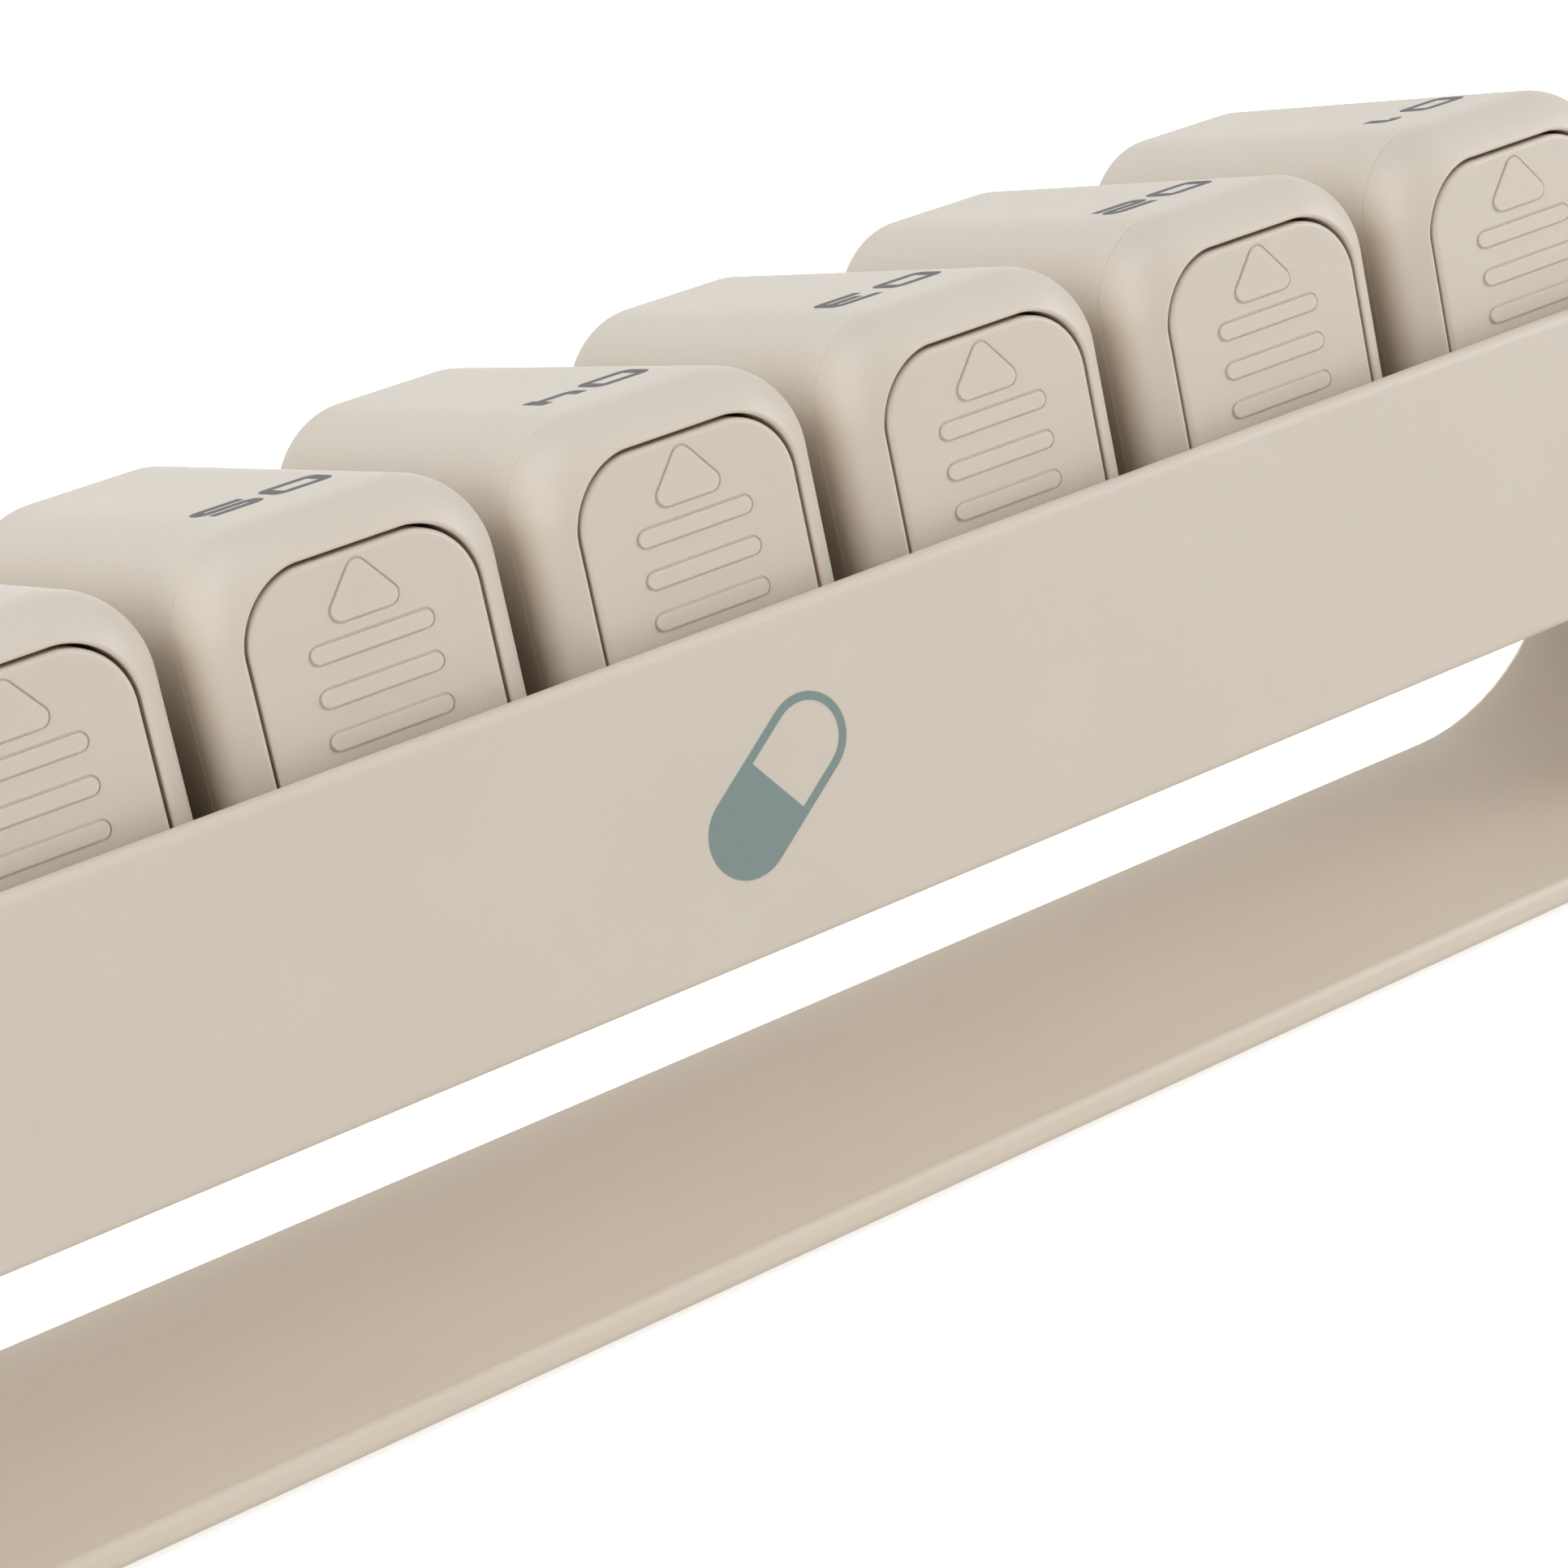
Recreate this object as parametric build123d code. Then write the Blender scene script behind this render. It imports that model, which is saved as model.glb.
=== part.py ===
from build123d import *
import os
from math import degrees, hypot, sqrt

# Weekly pill organizer: seven lift-out day boxes with drop-front doors, standing in
# a racetrack-shaped carrier. Millimetres, +Z up, the rail with the door side faces -Y.

# Day boxes
BOX_COUNT = 7
BOX_WIDTH = 29.4
BOX_GAP = 2.6
BOX_DEPTH = 49.3
BOX_RISE = 19.6
BOX_CORNER = 8.5
BOX_WALL = 1.6
SIDE_TAPER = 0.9
TOP_TAPER = 2.0
BACK_EDGE = 0.6

# Front frame that closes each box and carries its door
ROUND_OVER = 5.9
COLLAR = 0.2
FRAME_WIDTH = 3.45
FRAME_CORNER = 6.4
SILL_WALL = 2.2
SPIGOT_LENGTH = 3.5
SPIGOT_CLEARANCE = 0.25
SEAM_GROOVE = 0.12
OPENING_EDGE = 0.25

# Door, hung on two moulded stubs just above the rail
DOOR_THICKNESS = 2.3
DOOR_GAP = 0.35
DOOR_EDGE = 0.5
DOOR_TAIL = 6.2
HINGE_DEPTH = 3.0
KNUCKLE_RADIUS = 1.6
STUB_RADIUS = 1.0
STUB_REACH = 1.4
STUB_CLEARANCE = 0.08
SWING_CLEARANCE = 0.6

# Raised marks on the door, each in a fine groove: an arrow head over three finger ribs
MARK_HEIGHT = 0.2
MARK_TAPER = 12
MARK_GROOVE = 0.18
MARK_GROOVE_DEPTH = 0.1
RIB_COUNT = 3
RIB_LENGTH = 11.6
RIB_WIDTH = 1.5
RIB_SPACING = 3.65
RIB_FIRST = 6.7
ARROW_WIDTH = 8.3
ARROW_HEIGHT = 5.1
ARROW_CORNER = 0.9
ARROW_DROP = 1.2

# Carrier: a tray over an arched stand, together one racetrack outline
END_RADIUS = 28.8
BAND = 2.8
RAIL = 3.0
RAIL_EDGE = 0.9
LEAD_IN = 1.7
FLOOR = 2.6
BOX_END_CLEARANCE = 0.6
BOX_FACE_CLEARANCE = 0.58
END_WALL = 1.6
DIVIDER = 1.2
DIVIDER_HEIGHT = 6.0
DIVIDER_EDGE = 0.4
STAND_DEPTH = 48.9
STAND_SETBACK = 0.85
STAND_EDGE = 1.0
TONGUE = 1.4
TONGUE_WIDTH = 24.0
TONGUE_REACH = 6.0
TONGUE_CLEARANCE = 0.15

# Rubber pads under the stand
PAD_RADIUS = 5.0
PAD_HEIGHT = 1.0
PAD_EDGE = 0.3
PAD_INSET = 9.0

# Places worked out from the sizes above
BOX_PITCH = BOX_WIDTH + BOX_GAP
TRAY_DEPTH = BOX_DEPTH + 2 * (BOX_FACE_CLEARANCE + RAIL)
BOX_FRONT = -TRAY_DEPTH / 2 + RAIL + BOX_FACE_CLEARANCE
BOX_BACK = BOX_FRONT + BOX_DEPTH
SEAM = BOX_FRONT + ROUND_OVER + COLLAR
TRAY_INNER_END = (BOX_COUNT - 1) / 2 * BOX_PITCH + BOX_WIDTH / 2 + BOX_END_CLEARANCE
ARC_X = TRAY_INNER_END + END_WALL
STAND_BOTTOM = PAD_HEIGHT
ARC_Z = STAND_BOTTOM + END_RADIUS
RAIL_TOP = ARC_Z + END_RADIUS
BOX_BOTTOM = ARC_Z + FLOOR
BOX_TOP = RAIL_TOP + BOX_RISE
BOX_HEIGHT = BOX_TOP - BOX_BOTTOM
BOX_MIDDLE = (BOX_TOP + BOX_BOTTOM) / 2
OPENING_HALF = BOX_WIDTH / 2 - FRAME_WIDTH
OPENING_TOP = BOX_TOP - FRAME_WIDTH
DOOR_HALF = OPENING_HALF - DOOR_GAP
DOOR_TOP = OPENING_TOP - DOOR_GAP
DOOR_FRONT = BOX_FRONT + ROUND_OVER - sqrt(ROUND_OVER**2 - (ROUND_OVER - FRAME_WIDTH) ** 2)
HINGE_Y = DOOR_FRONT + HINGE_DEPTH
HINGE_Z = RAIL_TOP + HINGE_DEPTH + SWING_CLEARANCE
DOOR_BOTTOM = HINGE_Z - DOOR_TAIL
SILL_TOP = HINGE_Z - hypot(HINGE_DEPTH, DOOR_TAIL) - DOOR_GAP


def front_plane(y):
    """Sketch plane across the object at depth y: local x is X, local y is Z."""
    return Plane(origin=(0, y, 0), x_dir=(1, 0, 0), z_dir=(0, -1, 0))


def rounded_section(y, width, bottom, top, radius):
    """Rounded rectangle across the object, between two heights."""
    place = Pos(0, (bottom + top) / 2)
    return front_plane(y) * place * RectangleRounded(width, top - bottom, radius)


def tab_section(y, half_width, bottom, top, radius):
    """Outline with two round upper corners and a square foot."""
    outline = Pos(0, (bottom + top) / 2) * Rectangle(2 * half_width, top - bottom)
    upper = outline.vertices().group_by(Axis.Y)[-1]
    return front_plane(y) * fillet(upper, radius)


def taper_share(y):
    """How far depth y lies on the way from the seam to the back of a cup."""
    return (y - SEAM) / (BOX_BACK - SEAM)


def cup_block(y_start, y_end, inset):
    """Tapered block between two depths, drawn in from the cup's skin, its long edges round."""
    ends = (y_start, y_end)
    front_top, back_top = (BOX_TOP - TOP_TAPER * taper_share(y) - inset for y in ends)
    front_half, back_half = (BOX_WIDTH / 2 - SIDE_TAPER * taper_share(y) - inset for y in ends)
    floor = BOX_BOTTOM + inset
    side = [(y_start, floor), (y_end, floor), (y_end, back_top), (y_start, front_top)]
    plan = [(-front_half, y_start), (front_half, y_start), (back_half, y_end), (-back_half, y_end)]
    block = extrude(Plane.YZ * make_face(Polyline(*side, close=True)), BOX_WIDTH, both=True)
    block &= extrude(make_face(Polyline(*plan, close=True)), BOX_TOP)
    least = (y_end - y_start) / 2
    long_edges = block.edges().filter_by(lambda edge: edge.bounding_box().size.Y > least)
    return fillet(long_edges, BOX_CORNER - inset)


def day_box():
    """Tapered cup, open at the front frame."""
    outer = cup_block(SEAM, BOX_BACK, 0)
    ends = outer.faces().filter_by(Axis.Y).sort_by(Axis.Y)
    outer = fillet(ends[-1].edges(), BACK_EDGE)
    ends = outer.faces().filter_by(Axis.Y).sort_by(Axis.Y)
    outer = chamfer(ends[0].edges(), SEAM_GROOVE)
    return outer - cup_block(SEAM - BOX_WALL, BOX_BACK - BOX_WALL, BOX_WALL)


def on_opening_rim(edge):
    """Whether an edge runs round the mouth of the door opening, above the sill."""
    middle = edge.center()
    in_front = middle.Y < DOOR_FRONT + DOOR_THICKNESS / 2
    across = abs(middle.X) < OPENING_HALF + DOOR_GAP
    return in_front and across and SILL_TOP + DOOR_GAP < middle.Z < OPENING_TOP + DOOR_GAP


def front_frame():
    """Rounded surround with a sill, a spigot into the cup and sockets for the door."""
    depth = ROUND_OVER + COLLAR
    block = extrude(rounded_section(SEAM, BOX_WIDTH, BOX_BOTTOM, BOX_TOP, BOX_CORNER), depth)
    ends = block.faces().filter_by(Axis.Y).sort_by(Axis.Y)
    block = fillet(ends[0].edges(), ROUND_OVER)
    ends = block.faces().filter_by(Axis.Y).sort_by(Axis.Y)
    block = chamfer(ends[-1].edges(), SEAM_GROOVE)
    back = SEAM + SPIGOT_LENGTH
    block += cup_block(SEAM - COLLAR, back, BOX_WALL + SPIGOT_CLEARANCE)
    foot = BOX_BOTTOM + FRAME_WIDTH
    pocket = rounded_section(back, 2 * OPENING_HALF, foot, OPENING_TOP, FRAME_CORNER)
    opening = tab_section(back, OPENING_HALF, SILL_TOP, OPENING_TOP, FRAME_CORNER)
    hollow = extrude(pocket, SPIGOT_LENGTH + depth - SILL_WALL)
    hollow += extrude(opening, SPIGOT_LENGTH + 2 * depth)
    block -= hollow
    block = fillet(block.edges().filter_by(on_opening_rim), OPENING_EDGE)
    bore_length = 2 * (OPENING_HALF + STUB_REACH + STUB_CLEARANCE)
    bore = Cylinder(STUB_RADIUS + STUB_CLEARANCE, bore_length, rotation=(0, 90, 0))
    return block - Pos(0, HINGE_Y, HINGE_Z) * bore


def add_mark(leaf, outline):
    """Put a low pad with sloping sides on the door's face, with a fine groove round its foot."""
    plane = front_plane(DOOR_FRONT)
    leaf -= extrude(plane * offset(outline, MARK_GROOVE), -MARK_GROOVE_DEPTH)
    foot = front_plane(DOOR_FRONT + MARK_GROOVE_DEPTH)
    return leaf + extrude(foot * outline, MARK_GROOVE_DEPTH + MARK_HEIGHT, taper=MARK_TAPER)


def door():
    """Flush door with its hinge barrel, stubs, arrow head and finger ribs."""
    face = tab_section(DOOR_FRONT, DOOR_HALF, DOOR_BOTTOM, DOOR_TOP, FRAME_CORNER - DOOR_GAP)
    leaf = extrude(face, -DOOR_THICKNESS)
    front_edges = leaf.faces().sort_by(Axis.Y)[0].edges()
    leaf = fillet(front_edges, DOOR_EDGE)
    barrel = Cylinder(KNUCKLE_RADIUS, 2 * DOOR_HALF, rotation=(0, 90, 0))
    stub_length = 2 * (OPENING_HALF + STUB_REACH)
    stubs = Cylinder(STUB_RADIUS, stub_length, rotation=(0, 90, 0))
    leaf += Pos(0, HINGE_Y, HINGE_Z) * (barrel + stubs)
    first_rib = DOOR_TOP - RIB_FIRST - RIB_WIDTH / 2
    for row in range(RIB_COUNT):
        height = first_rib - row * RIB_SPACING
        leaf = add_mark(leaf, Pos(0, height) * SlotOverall(RIB_LENGTH, RIB_WIDTH))
    arrow_top = DOOR_TOP - ARROW_DROP + ARROW_CORNER
    corners = [
        (0, arrow_top),
        (-ARROW_WIDTH / 2, arrow_top - ARROW_HEIGHT),
        (ARROW_WIDTH / 2, arrow_top - ARROW_HEIGHT),
    ]
    arrow = make_face(Polyline(*corners, close=True))
    return add_mark(leaf, fillet(arrow.vertices(), ARROW_CORNER))


def end_sector(side, inner_radius, outer_radius, start, end):
    """Ring sector about a carrier end's arc centre, angles from the outward X axis."""
    inner = CenterArc((0, 0), inner_radius, start, end - start)
    outer = CenterArc((0, 0), outer_radius, start, end - start)
    first = Line(inner @ 0, outer @ 0)
    last = Line(inner @ 1, outer @ 1)
    sector = make_face(inner + outer + first + last)
    if side < 0:
        sector = mirror(sector, Plane.YZ)
    return Pos(side * ARC_X, ARC_Z) * sector


def rail(y_outer, inward):
    """Upper half of the racetrack as a plate, its outer edges rounded."""
    reach = ARC_X + END_RADIUS
    foot = Line((-reach, ARC_Z), (reach, ARC_Z))
    right = CenterArc((ARC_X, ARC_Z), END_RADIUS, 0, 90)
    top = Line((ARC_X, RAIL_TOP), (-ARC_X, RAIL_TOP))
    left = CenterArc((-ARC_X, ARC_Z), END_RADIUS, 90, 90)
    outline = front_plane(y_outer) * make_face(foot + right + top + left)
    plate = extrude(outline, -inward * RAIL)
    outer_face = plate.faces().filter_by(Axis.Y).sort_by(Axis.Y)[0 if inward > 0 else -1]
    return fillet(outer_face.edges(), RAIL_EDGE)


def lead_in():
    """Flared mouth of the trough that guides a box in, wide along the rails, small at the ends."""
    length = 2 * TRAY_INNER_END
    depth = TRAY_DEPTH - 2 * RAIL
    low = Pos(0, 0, RAIL_TOP - LEAD_IN) * Rectangle(length, depth)
    high = Pos(0, 0, RAIL_TOP) * Rectangle(length + END_WALL, depth + 2 * LEAD_IN)
    return loft([low, high], ruled=True)


def tray():
    """Two rails, a floor, end walls, rounded end skins and low dividers between the boxes."""
    half = TRAY_DEPTH / 2
    span = TRAY_DEPTH - RAIL
    body = rail(-half, 1) + rail(half, -1)
    body += Pos(0, 0, ARC_Z + FLOOR / 2) * Box(2 * ARC_X, span, FLOOR)
    for side in (-1, 1):
        wall_x = side * (TRAY_INNER_END + END_WALL / 2)
        body += Pos(wall_x, 0, ARC_Z + END_RADIUS / 2) * Box(END_WALL, span, END_RADIUS)
        skin = front_plane(span / 2) * end_sector(side, END_RADIUS - BAND, END_RADIUS, 0, 90)
        body += extrude(skin, span)
    body -= lead_in()
    divider = Pos(0, 0, BOX_BOTTOM + DIVIDER_HEIGHT / 2) * Box(DIVIDER, span, DIVIDER_HEIGHT)
    divider = fillet(divider.edges().filter_by(Axis.Y).group_by(Axis.Z)[-1], DIVIDER_EDGE)
    for gap in range(BOX_COUNT - 1):
        body += Pos((gap + 1 - BOX_COUNT / 2) * BOX_PITCH, 0, 0) * divider
    return body


def band_section():
    """Lower half of the racetrack as the closed section of a bent band."""
    inner_radius = END_RADIUS - BAND
    outer_right = CenterArc((ARC_X, ARC_Z), END_RADIUS, -90, 90)
    inner_right = CenterArc((ARC_X, ARC_Z), inner_radius, -90, 90)
    outer_left = CenterArc((-ARC_X, ARC_Z), END_RADIUS, 180, 90)
    inner_left = CenterArc((-ARC_X, ARC_Z), inner_radius, 180, 90)
    flats = Line(outer_left @ 1, outer_right @ 0) + Line(inner_left @ 1, inner_right @ 0)
    tips = Line(outer_left @ 0, inner_left @ 0) + Line(outer_right @ 1, inner_right @ 1)
    return make_face(outer_right + inner_right + outer_left + inner_left + flats + tips)


def stand():
    """Bent band under the tray, with tongues up into the tray's ends."""
    inner_radius = END_RADIUS - BAND
    back = STAND_SETBACK + STAND_DEPTH / 2
    band = extrude(front_plane(back) * band_section(), STAND_DEPTH)
    faces = band.faces().filter_by(Axis.Y).sort_by(Axis.Y)
    band = fillet(faces[0].edges() + faces[-1].edges(), STAND_EDGE)
    lap = inner_radius - TONGUE_CLEARANCE
    sweep = degrees(TONGUE_REACH / inner_radius)
    for side in (-1, 1):
        foot = end_sector(side, lap - TONGUE, inner_radius + BAND / 2, -sweep, 0)
        tip = end_sector(side, lap - TONGUE, lap, 0, sweep)
        tongue = front_plane(TONGUE_WIDTH / 2) * (foot + tip)
        band += extrude(tongue, TONGUE_WIDTH)
    return band


def foot_pads():
    """Four round rubber pads under the stand's flat."""
    pad = Pos(0, 0, PAD_HEIGHT / 2) * Cylinder(PAD_RADIUS, PAD_HEIGHT)
    pad = fillet(pad.edges().group_by(Axis.Z)[0], PAD_EDGE)
    x = ARC_X - PAD_INSET
    y = STAND_DEPTH / 2 - PAD_INSET
    places = [(sx * x, STAND_SETBACK + sy * y) for sx in (-1, 1) for sy in (-1, 1)]
    return Compound([Pos(px, py, 0) * pad for px, py in places])


def box_x(number):
    """Centre of a day box: number 1 stands at the +X end."""
    return ((BOX_COUNT + 1) / 2 - number) * BOX_PITCH


def main():
    """Build every piece and write one file per piece."""
    pieces = {"tray": tray(), "stand": stand(), "foot_pads": foot_pads()}
    box_pieces = {"day_box": day_box(), "front_frame": front_frame(), "door": door()}
    for number in range(1, BOX_COUNT + 1):
        for name, piece in box_pieces.items():
            pieces[f"{name}_{number}"] = Pos(box_x(number), 0, 0) * piece
    os.makedirs("parts", exist_ok=True)
    for name, piece in pieces.items():
        export_step(piece, f"parts/{name}.step")


main()
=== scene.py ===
"""Weekly pill organizer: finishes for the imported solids, printed marks, rubber feet and the studio."""

from __future__ import annotations

import logging
import math
from dataclasses import dataclass
from enum import Enum

import bmesh
import bpy
from mathutils import Matrix, Vector

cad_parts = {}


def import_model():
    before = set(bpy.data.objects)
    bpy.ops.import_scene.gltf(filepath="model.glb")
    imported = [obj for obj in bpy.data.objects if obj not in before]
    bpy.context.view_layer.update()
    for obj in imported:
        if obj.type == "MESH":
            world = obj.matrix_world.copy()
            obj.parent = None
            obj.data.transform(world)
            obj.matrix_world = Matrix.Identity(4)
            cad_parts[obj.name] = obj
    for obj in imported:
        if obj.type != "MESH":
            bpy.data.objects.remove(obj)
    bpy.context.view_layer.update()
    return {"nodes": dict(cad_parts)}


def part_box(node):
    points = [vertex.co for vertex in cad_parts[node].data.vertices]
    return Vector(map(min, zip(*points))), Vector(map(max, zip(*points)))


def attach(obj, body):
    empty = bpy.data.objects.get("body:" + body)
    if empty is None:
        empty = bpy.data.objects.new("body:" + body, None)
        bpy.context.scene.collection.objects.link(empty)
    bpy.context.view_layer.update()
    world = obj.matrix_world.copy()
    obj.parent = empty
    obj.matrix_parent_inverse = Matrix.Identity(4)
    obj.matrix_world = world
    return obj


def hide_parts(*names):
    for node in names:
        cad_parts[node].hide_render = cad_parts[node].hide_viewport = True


LOG = logging.getLogger("pill_organizer")
MM = 0.001
BOX_COUNT = 7
WHITE = "#FFFFFF"
# The sockets of a Mix node that mixes two colours.
MIX_FIRST, MIX_SECOND, MIX_RESULT = 6, 7, 2

Point = tuple[float, float]
Colour = tuple[float, float, float, float]


def srgb(code: str) -> Colour:
    """Turn an sRGB hex colour into linear light.

    Args:
        code: Six hex digits, with or without a leading hash.

    Returns:
        Linear red, green and blue with an alpha of 1.
    """
    digits = code.lstrip("#")
    channels = []
    for start in (0, 2, 4):
        value = int(digits[start : start + 2], 16) / 255
        linear = value / 12.92 if value <= 0.04045 else ((value + 0.055) / 1.055) ** 2.4
        channels.append(linear)
    return (channels[0], channels[1], channels[2], 1.0)


def add_node(
    tree: bpy.types.NodeTree,
    kind: str,
    settings: dict[str, object] | None = None,
    links: dict[str | int, bpy.types.NodeSocket] | None = None,
) -> bpy.types.Node:
    """Add a shader node, set its values and link its inputs.

    Args:
        tree: The material's or world's node tree.
        kind: Blender's type name of the node.
        settings: Values by property name, or by input name where the node has such an input.
        links: Source sockets by the name or number of the input that they feed.

    Returns:
        The new node.
    """
    node = tree.nodes.new(kind)
    for name, value in (settings or {}).items():
        if name in node.inputs:
            node.inputs[name].default_value = value
        else:
            setattr(node, name, value)
    for target, source in (links or {}).items():
        tree.links.new(source, node.inputs[target])
    return node


def empty_material(name: str) -> tuple[bpy.types.Material, bpy.types.NodeTree]:
    """Make a material with an empty node tree.

    Args:
        name: The finish's name.

    Returns:
        The material and its node tree.
    """
    material = bpy.data.materials.new(name)
    material.use_nodes = True
    material.node_tree.nodes.clear()
    return material, material.node_tree


@dataclass(frozen=True)
class MouldedPlastic:
    """Injection-moulded ABS with a fine spark-eroded grain, which gives a soft, broad sheen."""

    name: str
    colour: str
    shade: str
    roughness: float
    roughness_swing: float = 0.05
    ior: float = 1.52
    cloud_mm: float = 22.0
    grain_mm: float = 0.22
    grain_depth_mm: float = 0.006
    soak: float = 0.4
    soak_mm: tuple[float, float, float] = (0.9, 0.45, 0.22)

    def material(self) -> bpy.types.Material:
        """Make the plastic: faint flow clouds in the colour, and a grain in the bump and gloss.

        The real grain is about 0.05 mm, too fine to show, so it is drawn at grain_mm. Some of the
        light soaks into the plastic, red the furthest, which warms and softens edges and gaps.

        Returns:
            The new material.
        """
        material, tree = empty_material(self.name)
        place = add_node(tree, "ShaderNodeTexCoord").outputs["Object"]
        clouds = add_node(
            tree,
            "ShaderNodeTexNoise",
            {"Scale": 1 / (self.cloud_mm * MM), "Detail": 3.0, "Roughness": 0.5},
            {"Vector": place},
        )
        colour = add_node(
            tree,
            "ShaderNodeMix",
            {"data_type": "RGBA"},
            {"Factor": clouds.outputs["Fac"]},
        )
        colour.inputs[MIX_FIRST].default_value = srgb(self.colour)
        colour.inputs[MIX_SECOND].default_value = srgb(self.shade)
        grain = add_node(
            tree,
            "ShaderNodeTexNoise",
            {"Scale": 1 / (self.grain_mm * MM), "Detail": 2.0, "Roughness": 0.6},
            {"Vector": place},
        )
        gloss = add_node(
            tree,
            "ShaderNodeMapRange",
            {
                "To Min": self.roughness - self.roughness_swing,
                "To Max": self.roughness + self.roughness_swing,
            },
            {"Value": grain.outputs["Fac"]},
        )
        bump = add_node(
            tree,
            "ShaderNodeBump",
            {"Strength": 1.0, "Distance": self.grain_depth_mm * MM},
            {"Height": grain.outputs["Fac"]},
        )
        shader = add_node(
            tree,
            "ShaderNodeBsdfPrincipled",
            {
                "IOR": self.ior,
                "Subsurface Weight": self.soak,
                "Subsurface Radius": self.soak_mm,
                "Subsurface Scale": MM,
            },
            {
                "Base Color": colour.outputs[MIX_RESULT],
                "Roughness": gloss.outputs["Result"],
                "Normal": bump.outputs["Normal"],
            },
        )
        add_node(tree, "ShaderNodeOutputMaterial", None, {"Surface": shader.outputs["BSDF"]})
        return material


@dataclass(frozen=True)
class PadPrint:
    """Pad-printed ink: a thin matt film, a little uneven where the pad lifted."""

    name: str
    colour: str
    thin_colour: str
    roughness: float = 0.55
    speckle_mm: float = 0.5

    def material(self) -> bpy.types.Material:
        """Make the ink, its tone varying in small specks.

        Returns:
            The new material.
        """
        material, tree = empty_material(self.name)
        place = add_node(tree, "ShaderNodeTexCoord").outputs["Object"]
        specks = add_node(
            tree,
            "ShaderNodeTexNoise",
            {"Scale": 1 / (self.speckle_mm * MM), "Detail": 4.0},
            {"Vector": place},
        )
        colour = add_node(
            tree, "ShaderNodeMix", {"data_type": "RGBA"}, {"Factor": specks.outputs["Fac"]}
        )
        colour.inputs[MIX_FIRST].default_value = srgb(self.colour)
        colour.inputs[MIX_SECOND].default_value = srgb(self.thin_colour)
        shader = add_node(
            tree,
            "ShaderNodeBsdfPrincipled",
            {"Roughness": self.roughness},
            {"Base Color": colour.outputs[MIX_RESULT]},
        )
        add_node(tree, "ShaderNodeOutputMaterial", None, {"Surface": shader.outputs["BSDF"]})
        return material


@dataclass(frozen=True)
class MouldedRubber:
    """Compression-moulded silicone rubber: dark, matt, with dust-fine mottling."""

    name: str
    colour: str
    dusty_colour: str
    roughness: float = 0.75
    mottle_mm: float = 0.8
    mottle_depth_mm: float = 0.02
    bump_strength: float = 0.6

    def material(self) -> bpy.types.Material:
        """Make the rubber with its mottled tone and bump.

        Returns:
            The new material.
        """
        material, tree = empty_material(self.name)
        place = add_node(tree, "ShaderNodeTexCoord").outputs["Object"]
        mottle = add_node(
            tree,
            "ShaderNodeTexNoise",
            {"Scale": 1 / (self.mottle_mm * MM), "Detail": 5.0},
            {"Vector": place},
        )
        colour = add_node(
            tree, "ShaderNodeMix", {"data_type": "RGBA"}, {"Factor": mottle.outputs["Fac"]}
        )
        colour.inputs[MIX_FIRST].default_value = srgb(self.colour)
        colour.inputs[MIX_SECOND].default_value = srgb(self.dusty_colour)
        bump = add_node(
            tree,
            "ShaderNodeBump",
            {"Strength": self.bump_strength, "Distance": self.mottle_depth_mm * MM},
            {"Height": mottle.outputs["Fac"]},
        )
        shader = add_node(
            tree,
            "ShaderNodeBsdfPrincipled",
            {"Roughness": self.roughness},
            {"Base Color": colour.outputs[MIX_RESULT], "Normal": bump.outputs["Normal"]},
        )
        add_node(tree, "ShaderNodeOutputMaterial", None, {"Surface": shader.outputs["BSDF"]})
        return material


class Finish(Enum):
    """The finishes that the organizer is made in."""

    # Moulded ABS: an even, warm beige that spreads highlights wide, a little more matt on the cups; the
    # stand's beige is painted lighter.
    TRAY = MouldedPlastic("moulded_abs_tray", "#D5C5B1", "#CFBFAA", 0.50)
    # Painted light: the stand is lighter than the tray so that the band's top, which lies in the tray's
    # shade, looks lit.
    STAND = MouldedPlastic("moulded_abs_stand_painted_light", "#E0CFB8", "#DAC9B2", 0.50)
    BOX = MouldedPlastic("moulded_abs_box", "#D5C5B1", "#CFC0AB", 0.60)
    FRONT = MouldedPlastic("moulded_abs_front", "#D5C5B1", "#D0C0AB", 0.50)
    # Pad-printed ink: dull and dense, darker than the plastic from every side.
    GREY_INK = PadPrint("pad_print_grey", "#463F42", "#504A4C")
    TEAL_INK = PadPrint("pad_print_teal", "#717F76", "#7D887E")
    # Moulded rubber: nearly black, with a dusty bloom and no highlight.
    RUBBER = MouldedRubber("moulded_rubber", "#3A3733", "#4A4642")

    def coat(self, piece: bpy.types.Object) -> None:
        """Give a piece this finish in its only material slot.

        Args:
            piece: The mesh object to dress.
        """
        material = bpy.data.materials.get(self.value.name) or self.value.material()
        piece.data.materials.clear()
        piece.data.materials.append(material)


def arc(centre: Point, radius: float, start: float, sweep: float, steps: int = 10) -> list[Point]:
    """Points along a circular arc.

    Args:
        centre: The arc's centre.
        radius: Its radius.
        start: Its first angle, in degrees.
        sweep: The angle that it turns, in degrees, positive to the left.
        steps: The number of chords.

    Returns:
        The points from the first angle to the last.
    """
    angles = (math.radians(start + sweep * i / steps) for i in range(steps + 1))
    return [(centre[0] + radius * math.cos(a), centre[1] + radius * math.sin(a)) for a in angles]


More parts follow.
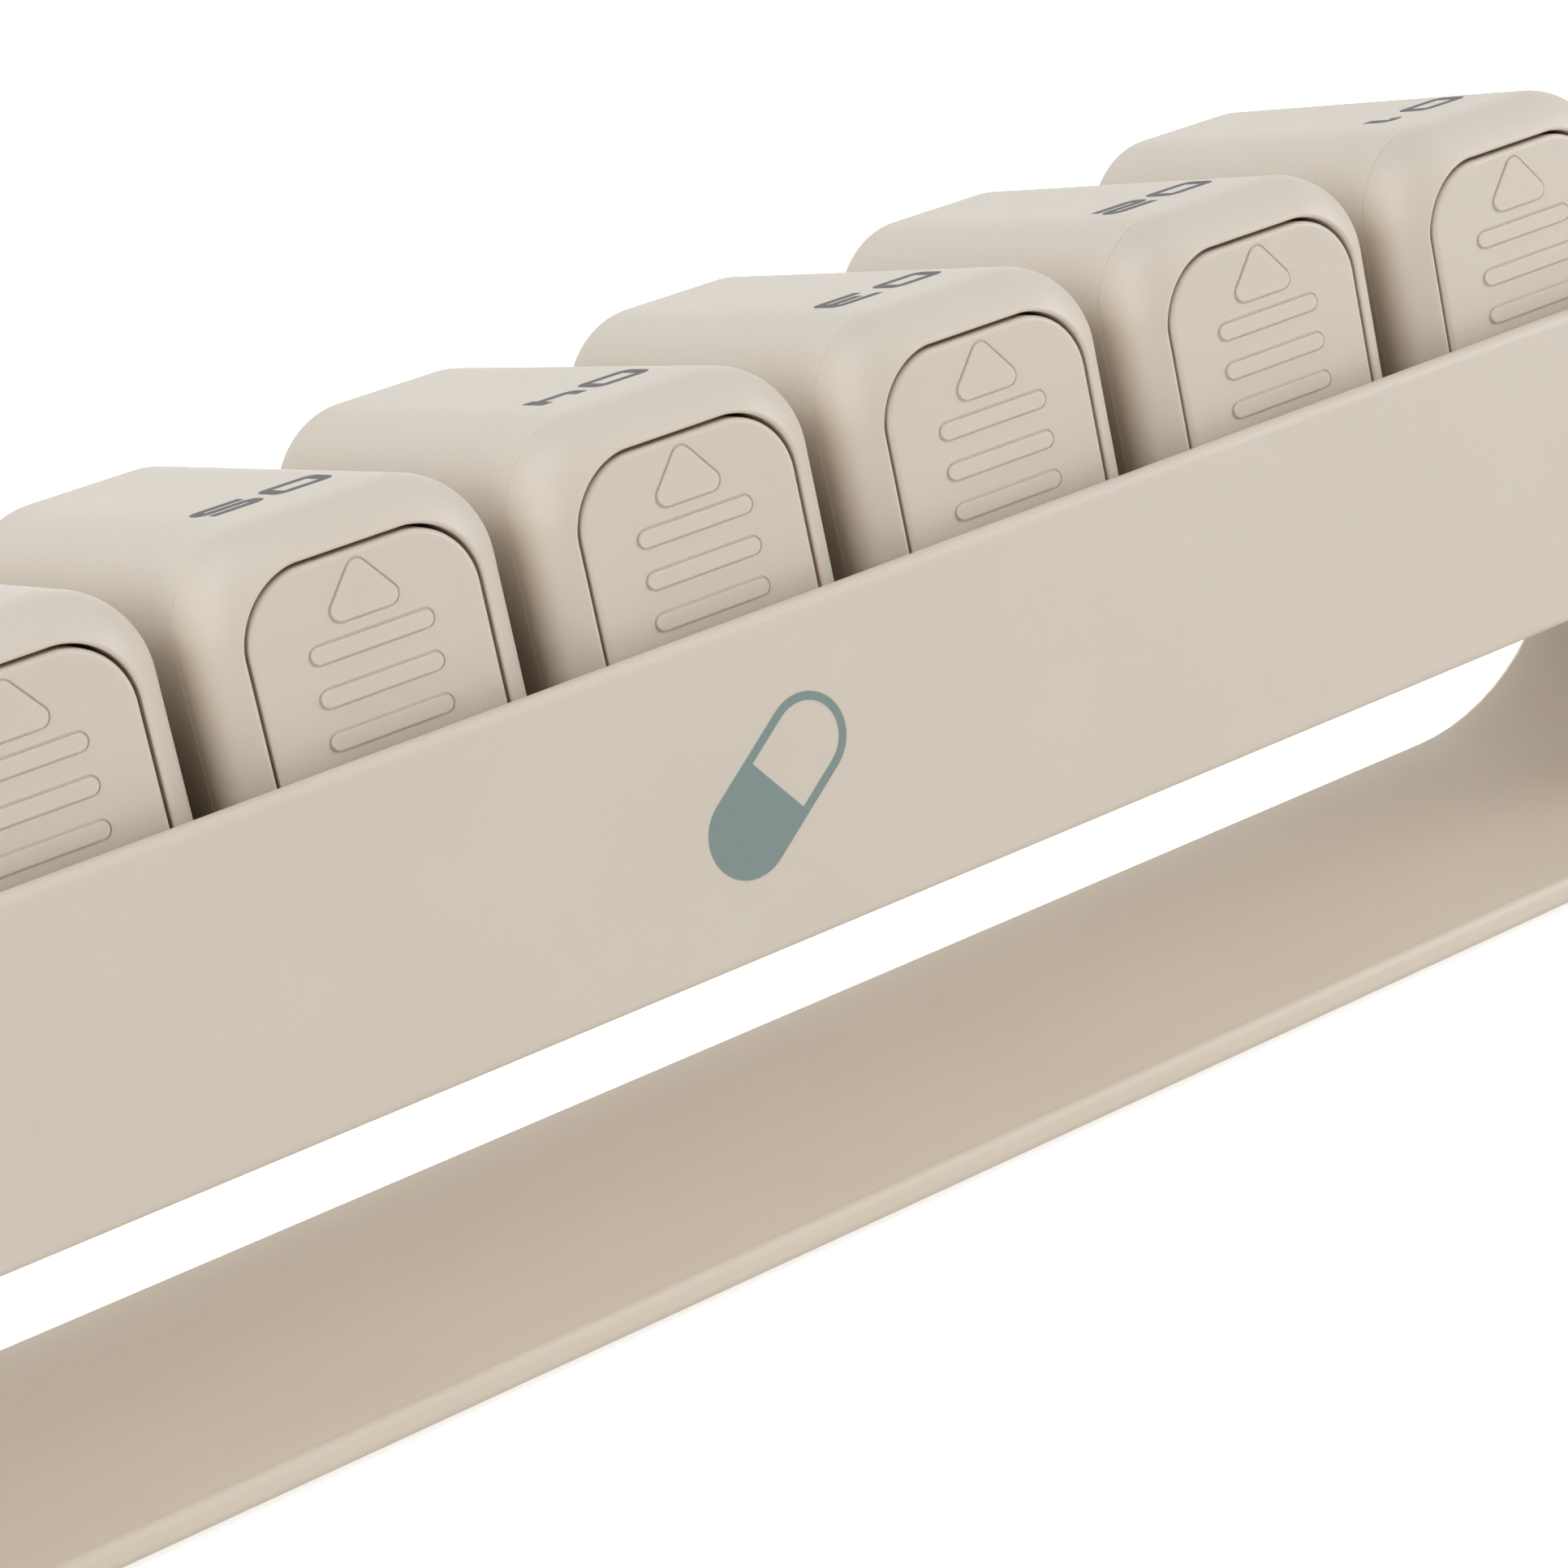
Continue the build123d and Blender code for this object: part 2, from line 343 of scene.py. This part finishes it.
def rounded_path(corners: list[Point], radius: float, steps: int = 6) -> list[Point]:
    """An open path of straight runs whose inner corners are arcs.

    Args:
        corners: The path's corners, ends included.
        radius: The radius at each inner corner.
        steps: The number of chords in each arc.

    Returns:
        The points of the path.
    """
    path = [corners[0]]
    for before, here, after in zip(corners, corners[1:], corners[2:]):
        back = (Vector(before) - Vector(here)).normalized()
        on = (Vector(after) - Vector(here)).normalized()
        half = back.angle(on) / 2
        middle = Vector(here) + (back + on).normalized() * (radius / math.sin(half))
        first = Vector(here) + back * (radius / math.tan(half)) - middle
        last = Vector(here) + on * (radius / math.tan(half)) - middle
        turn = math.atan2(first.cross(last), first.dot(last))
        start = math.degrees(math.atan2(first.y, first.x))
        path += arc((middle.x, middle.y), radius, start, math.degrees(turn), steps)
    path.append(corners[-1])
    return path


@dataclass(frozen=True)
class PrintPlace:
    """A flat place on a surface that ink is laid on."""

    origin: Vector
    right: Vector
    up: Vector

    @property
    def out(self) -> Vector:
        """The surface's outward normal."""
        return self.right.cross(self.up)

    def point(self, flat: Point, height: float) -> Vector:
        """Return a point of the print, with its height over the surface, in metres."""
        return self.origin + self.right * flat[0] + self.up * flat[1] + self.out * height


@dataclass
class InkFilm:
    """A thin closed film of ink made of strokes and filled shapes, in millimetres."""

    name: str
    place: PrintPlace
    film_mm: float = 0.03
    sunk_mm: float = 0.01

    def __post_init__(self) -> None:
        """Start with an empty mesh."""
        self.mesh = bmesh.new()

    def fill(self, outline: list[Point]) -> None:
        """Add a filled shape as a closed plate.

        Args:
            outline: The shape's outline, counter-clockwise.
        """
        low = [self.place.point((x * MM, y * MM), -self.sunk_mm * MM) for x, y in outline]
        high = [self.place.point((x * MM, y * MM), self.film_mm * MM) for x, y in outline]
        bottom = [self.mesh.verts.new(p) for p in low]
        top = [self.mesh.verts.new(p) for p in high]
        self.mesh.faces.new(top)
        self.mesh.faces.new(list(reversed(bottom)))
        for i in range(len(outline)):
            j = (i + 1) % len(outline)
            self.mesh.faces.new((bottom[i], bottom[j], top[j], top[i]))

    def stroke(self, path: list[Point], width: float) -> None:
        """Add an open stroke of even width with square ends.

        Args:
            path: The stroke's middle line.
            width: The stroke's width.
        """
        left, right = self._sides(path, width, closed=False)
        self.fill(right + list(reversed(left)))

    def ring(self, path: list[Point], width: float) -> None:
        """Add a closed stroke as a band of quads.

        Args:
            path: The middle line, without its first point repeated.
            width: The stroke's width.
        """
        left, right = self._sides(path, width, closed=True)
        heights = (-self.sunk_mm * MM, self.film_mm * MM)
        rows = []
        for side in (left, right):
            for height in heights:
                points = (self.place.point((x * MM, y * MM), height) for x, y in side)
                rows.append([self.mesh.verts.new(p) for p in points])
        in_low, in_high, out_low, out_high = rows
        for i in range(len(path)):
            j = (i + 1) % len(path)
            self.mesh.faces.new((in_high[i], out_high[i], out_high[j], in_high[j]))
            self.mesh.faces.new((in_low[j], out_low[j], out_low[i], in_low[i]))
            self.mesh.faces.new((out_low[i], out_low[j], out_high[j], out_high[i]))
            self.mesh.faces.new((in_low[j], in_low[i], in_high[i], in_high[j]))

    @staticmethod
    def _sides(path: list[Point], width: float, closed: bool) -> tuple[list[Point], list[Point]]:
        """Offset a middle line to both sides, with mitred corners.

        Args:
            path: The middle line.
            width: The distance between the two sides.
            closed: Whether the line returns to its first point.

        Returns:
            The points on the left side and those on the right.
        """
        left: list[Point] = []
        right: list[Point] = []
        last = len(path) - 1
        for i, here in enumerate(path):
            before = path[i - 1] if i > 0 or closed else None
            after = path[(i + 1) % len(path)] if i < last or closed else None
            runs = []
            if before is not None:
                runs.append((Vector(here) - Vector(before)).normalized())
            if after is not None:
                runs.append((Vector(after) - Vector(here)).normalized())
            normals = [Vector((-run.y, run.x)) for run in runs]
            mitre = sum(normals, Vector((0, 0))).normalized()
            reach = width / 2 / mitre.dot(normals[0])
            left.append((here[0] + mitre.x * reach, here[1] + mitre.y * reach))
            right.append((here[0] - mitre.x * reach, here[1] - mitre.y * reach))
        return left, right

    def finish(self, finish: Finish, body: str, slot: str) -> bpy.types.Object:
        """Turn the film into a piece that rides on a body.

        Args:
            finish: The ink.
            body: The body that carries the print.
            slot: Not used; named as the material slot of the surface under it.

        Returns:
            The new object.
        """
        bmesh.ops.recalc_face_normals(self.mesh, faces=self.mesh.faces)
        data = bpy.data.meshes.new(self.name)
        self.mesh.to_mesh(data)
        self.mesh.free()
        piece = bpy.data.objects.new(self.name, data)
        bpy.context.scene.collection.objects.link(piece)
        finish.coat(piece)
        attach(piece, body)
        LOG.info("printed %s on %s", self.name, body)
        return piece


class Numeral(Enum):
    """Plain numerals as runs of points in a unit cell, from its left and from its bottom."""

    ZERO = (((0.5, 1), (1, 1), (1, 0), (0, 0), (0, 1), (0.5, 1)),)
    ONE = (((0.22, 0.76), (0.56, 1.0), (0.56, 0.0)),)
    TWO = (((0, 1), (1, 1), (1, 0.5), (0, 0.5), (0, 0), (1, 0)),)
    THREE = (((0, 1), (1, 1), (1, 0), (0, 0)), ((0.24, 0.5), (0.88, 0.5)))
    FOUR = (((0, 1), (0, 0.4), (0.66, 0.4)), ((0.78, 1), (0.78, 0)))
    FIVE = (((1, 1), (0, 1), (0, 0.5), (1, 0.5), (1, 0), (0, 0)),)
    SIX = (((1, 1), (0, 1), (0, 0), (1, 0), (1, 0.5), (0.12, 0.5)),)
    SEVEN = (((0, 1), (1, 1), (1, 0.62), (0.42, 0)),)


@dataclass
class DayBox:
    """One lift-out day box: cup, front frame, door and the numeral printed on its top."""

    number: int
    digit_width_mm: float = 4.5
    digit_height_mm: float = 3.4
    digit_pitch_mm: float = 6.6
    digit_stroke_mm: float = 1.1
    digit_corner_mm: float = 0.6
    numeral_behind_seam_mm: float = 8.2
    top_drop_mm: float = 2.0

    def build(self, nodes: dict[str, bpy.types.Object]) -> None:
        """Dress the box's solids and print its numeral.

        Args:
            nodes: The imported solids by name.
        """
        Finish.BOX.coat(nodes[f"day_box_{self.number}"])
        Finish.FRONT.coat(nodes[f"front_frame_{self.number}"])
        Finish.FRONT.coat(nodes[f"door_{self.number}"])
        LOG.info("dressed box %d", self.number)
        self._print_numeral()

    def _top_place(self) -> PrintPlace:
        """Find the place of the numeral, which is read from behind.

        Returns:
            The place on the cup's sloping top.
        """
        low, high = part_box(f"day_box_{self.number}")
        depth = high.y - low.y
        slope = -self.top_drop_mm * MM / depth
        behind = self.numeral_behind_seam_mm * MM
        origin = Vector(((low.x + high.x) / 2, low.y + behind, high.z + slope * behind))
        return PrintPlace(origin, Vector((-1, 0, 0)), Vector((0, -1, -slope)).normalized())

    def _print_numeral(self) -> None:
        """Print the box's number on its top."""
        film = InkFilm(f"numeral_{self.number}", self._top_place())
        numerals = list(Numeral)
        half_pitch = self.digit_pitch_mm / 2
        for middle, digit in ((-half_pitch, numerals[0]), (half_pitch, numerals[self.number])):
            for run in digit.value:
                placed = [
                    (middle + (x - 0.5) * self.digit_width_mm, (y - 0.5) * self.digit_height_mm)
                    for x, y in run
                ]
                film.stroke(rounded_path(placed, self.digit_corner_mm), self.digit_stroke_mm)
        film.finish(Finish.GREY_INK, f"box_{self.number}", "box_plastic")


@dataclass
class Carrier:
    """The tray and its stand, with a capsule pictogram on the front rail."""

    mark_length_mm: float = 17.0
    mark_width_mm: float = 7.4
    mark_stroke_mm: float = 0.75
    mark_tilt_deg: float = 38.0
    mark_above_floor_mm: float = 43.9
    end_steps: int = 20

    def build(self, nodes: dict[str, bpy.types.Object]) -> None:
        """Dress the carrier's solids and print the pictogram.

        Args:
            nodes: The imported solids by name.
        """
        Finish.TRAY.coat(nodes["tray"])
        Finish.STAND.coat(nodes["stand"])
        LOG.info("dressed tray and stand")
        self._print_capsule()

    def _print_capsule(self) -> None:
        """Print a capsule, one half solid and one half in outline."""
        low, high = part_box("tray")
        tilt = math.radians(self.mark_tilt_deg)
        right = Vector((math.cos(tilt), 0, math.sin(tilt)))
        up = Vector((-math.sin(tilt), 0, math.cos(tilt)))
        origin = Vector(((low.x + high.x) / 2, low.y, self.mark_above_floor_mm * MM))
        film = InkFilm("capsule_pictogram", PrintPlace(origin, right, up))
        radius = self.mark_width_mm / 2
        reach = self.mark_length_mm / 2 - radius
        outline = arc((reach, 0), radius, -90, 180, self.end_steps)
        outline += arc((-reach, 0), radius, 90, 180, self.end_steps)
        film.ring(outline, self.mark_stroke_mm)
        inner = radius - self.mark_stroke_mm / 2
        film.fill(arc((-reach, 0), inner, 90, 180, self.end_steps) + [(0, -inner), (0, inner)])
        film.finish(Finish.TEAL_INK, "carrier", "carrier_plastic")


@dataclass
class FootPads:
    """Four turned rubber pads with a shallow dished face and a soft rim."""

    rim_mm: float = 0.3
    dish_mm: float = 0.12
    dish_share: float = 0.72
    dish_rings: int = 4
    rim_steps: int = 5
    segments: int = 48

    def build(self, nodes: dict[str, bpy.types.Object]) -> None:
        """Build the pads in place of their plain solids.

        Args:
            nodes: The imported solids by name.
        """
        low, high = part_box("foot_pads")
        radius = self._pad_radius(nodes["foot_pads"], high)
        mesh = bmesh.new()
        for x in (low.x + radius, high.x - radius):
            for y in (low.y + radius, high.y - radius):
                self._add_pad(mesh, Vector((x, y, low.z)), radius, high.z - low.z)
        data = bpy.data.meshes.new("rubber_pads")
        mesh.to_mesh(data)
        mesh.free()
        data.polygons.foreach_set("use_smooth", [True] * len(data.polygons))
        pads = bpy.data.objects.new("rubber_pads", data)
        bpy.context.scene.collection.objects.link(pads)
        Finish.RUBBER.coat(pads)
        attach(pads, "carrier")
        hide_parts("foot_pads")
        LOG.info("built rubber pads")

    @staticmethod
    def _pad_radius(solid: bpy.types.Object, high: Vector) -> float:
        """Return the radius of one pad, from the points of the pad in the far corner."""
        corner = [v.co for v in solid.data.vertices if v.co.x > 0 and v.co.y > 0]
        return (high.x - min(p.x for p in corner)) / 2

    def _add_pad(self, mesh: bmesh.types.BMesh, foot: Vector, radius: float, height: float) -> None:
        """Turn one pad about its axis.

        Args:
            mesh: The mesh to add to.
            foot: The middle of the pad's lower face.
            radius: The pad's radius.
            height: The pad's height.
        """
        rim = self.rim_mm * MM
        dish = self.dish_share * radius
        shares = [(i + 1) / self.dish_rings for i in range(self.dish_rings)]
        profile = [(dish * share, self.dish_mm * MM * (1 - share**2)) for share in shares]
        profile += [(x + radius - rim, y + rim) for x, y in arc((0, 0), rim, -90, 90, self.rim_steps)]
        profile += [(radius, height)]
        rings = []
        for r, z in profile:
            angles = (2 * math.pi * i / self.segments for i in range(self.segments))
            rings.append(
                [mesh.verts.new(foot + Vector((r * math.cos(a), r * math.sin(a), z))) for a in angles]
            )
        for inner, outer in zip(rings, rings[1:]):
            for i in range(self.segments):
                j = (i + 1) % self.segments
                mesh.faces.new((inner[j], outer[j], outer[i], inner[i]))
        mesh.faces.new(list(reversed(rings[0])))
        mesh.faces.new(rings[-1])


@dataclass(frozen=True)
class Softbox:
    """One square softbox: place and side in metres, power, and whether reflections show it."""

    name: str
    place: tuple[float, float, float]
    side: float
    watts: float
    mirrored: bool = True


@dataclass
class Studio:
    """White sweep, soft lamps and the camera of a close product shot."""

    floor_size: float = 8.0
    floor_drop: float = 0.0001
    floor_colour: str = "#F0EBE4"
    floor_glow: float = 0.72
    light_colour: str = "#E7F1FE"
    sky_strength: float = 0.52
    softboxes: tuple[Softbox, ...] = (
        Softbox("top_softbox", (-0.70, 0.0, 1.1), 0.8, 6.9),
        Softbox("left_softbox", (-1.15, -0.60, 0.42), 0.6, 6.0),
        Softbox("right_softbox", (1.10, -0.65, 0.42), 0.6, 9.5),
        Softbox("rear_softbox", (0.35, 1.15, 0.32), 0.6, 12.0, mirrored=False),
    )
    aim: tuple[float, float, float] = (0.0, 0.0, 0.04)
    lens_mm: float = 108.167
    sensor_mm: float = 36.0
    camera_place: tuple[float, float, float] = (-0.200225, -0.355158, 0.152843)
    camera_right: tuple[float, float, float] = (0.80318, -0.56060, -0.20155)
    camera_up: tuple[float, float, float] = (0.31841, 0.11802, 0.94058)

    def build(self) -> None:
        """Make the floor, the light and the camera."""
        self._floor()
        self._sky()
        for softbox in self.softboxes:
            self._hang(softbox)
        self._camera()
        bpy.context.scene.view_settings.view_transform = "Standard"
        LOG.info("set the studio")

    def _floor(self) -> None:
        """Lay a large pale floor that looks white and keeps a faint shadow."""
        half = self.floor_size / 2
        mesh = bpy.data.meshes.new("studio_floor")
        sheet = [(-half, -half, 0), (half, -half, 0), (half, half, 0), (-half, half, 0)]
        mesh.from_pydata(sheet, [], [(0, 1, 2, 3)])
        floor = bpy.data.objects.new("studio_floor", mesh)
        floor.location.z = -self.floor_drop
        bpy.context.scene.collection.objects.link(floor)
        material, tree = empty_material("painted_sweep")
        matt = add_node(tree, "ShaderNodeBsdfDiffuse", {"Color": srgb(self.floor_colour)})
        glow_level = add_node(
            tree,
            "ShaderNodeMapRange",
            {"To Min": 0.0, "To Max": self.floor_glow},
            {"Value": self._backdrop_seen(tree)},
        )
        glow = add_node(
            tree,
            "ShaderNodeEmission",
            {"Color": srgb(WHITE)},
            {"Strength": glow_level.outputs["Result"]},
        )
        both = add_node(tree, "ShaderNodeAddShader", None, {0: matt.outputs[0], 1: glow.outputs[0]})
        add_node(tree, "ShaderNodeOutputMaterial", None, {"Surface": both.outputs[0]})
        mesh.materials.append(material)

    @staticmethod
    def _backdrop_seen(tree: bpy.types.NodeTree) -> bpy.types.NodeSocket:
        """Tell the rays that show the backdrop from those that only light the set.

        Args:
            tree: The node tree of the floor or the sky.

        Returns:
            A socket that is 1 for a ray from the lens, off a gloss or through a clear piece.
        """
        path = add_node(tree, "ShaderNodeLightPath")
        seen = path.outputs["Is Camera Ray"]
        for kind in ("Is Glossy Ray", "Is Transmission Ray"):
            either = add_node(
                tree, "ShaderNodeMath", {"operation": "MAXIMUM"}, {0: seen, 1: path.outputs[kind]}
            )
            seen = either.outputs[0]
        return seen

    def _sky(self) -> None:
        """Surround the set with even, slightly cool light that looks white to the camera."""
        world = bpy.data.worlds.new("studio_sky")
        world.use_nodes = True
        tree = world.node_tree
        tree.nodes.clear()
        seen = self._backdrop_seen(tree)
        tint = add_node(tree, "ShaderNodeMix", {"data_type": "RGBA"}, {"Factor": seen})
        tint.inputs[MIX_FIRST].default_value = srgb(self.light_colour)
        tint.inputs[MIX_SECOND].default_value = srgb(WHITE)
        level = add_node(
            tree,
            "ShaderNodeMapRange",
            {"To Min": self.sky_strength, "To Max": 1.0},
            {"Value": seen},
        )
        light = add_node(
            tree,
            "ShaderNodeBackground",
            None,
            {"Color": tint.outputs[MIX_RESULT], "Strength": level.outputs["Result"]},
        )
        add_node(tree, "ShaderNodeOutputWorld", None, {"Surface": light.outputs["Background"]})
        bpy.context.scene.world = world

    def _hang(self, softbox: Softbox) -> None:
        """Hang one softbox that faces the object.

        Args:
            softbox: The lamp to hang.
        """
        data = bpy.data.lights.new(softbox.name, "AREA")
        data.size = softbox.side
        data.energy = softbox.watts
        data.color = srgb(self.light_colour)[:3]
        lamp = bpy.data.objects.new(softbox.name, data)
        lamp.location = softbox.place
        lamp.visible_glossy = softbox.mirrored
        direction = Vector(self.aim) - Vector(softbox.place)
        lamp.rotation_euler = direction.to_track_quat("-Z", "Y").to_euler()
        bpy.context.scene.collection.objects.link(lamp)

    def _camera(self) -> None:
        """Set the camera where the photograph was taken from."""
        data = bpy.data.cameras.new("product_camera")
        data.sensor_width = self.sensor_mm
        data.lens = self.lens_mm
        camera = bpy.data.objects.new("product_camera", data)
        right, up = Vector(self.camera_right), Vector(self.camera_up)
        back = right.cross(up)
        turn = Matrix((right, up, back)).transposed()
        camera.matrix_world = Matrix.Translation(self.camera_place) @ turn.to_4x4()
        bpy.context.scene.collection.objects.link(camera)
        bpy.context.scene.camera = camera


def corners(box: tuple[Vector, Vector]) -> list[list[float]]:
    """Return a box's two corners as plain lists."""
    return [list(box[0]), list(box[1])]


def main() -> None:
    """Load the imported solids, dress them, add the printed marks and set the studio."""
    logging.basicConfig(level=logging.INFO)
    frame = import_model()
    nodes = frame["nodes"]
    Carrier().build(nodes)
    FootPads().build(nodes)
    for number in range(1, BOX_COUNT + 1):
        DayBox(number).build(nodes)
    Studio().build()


if __name__ == "__main__":
    main()
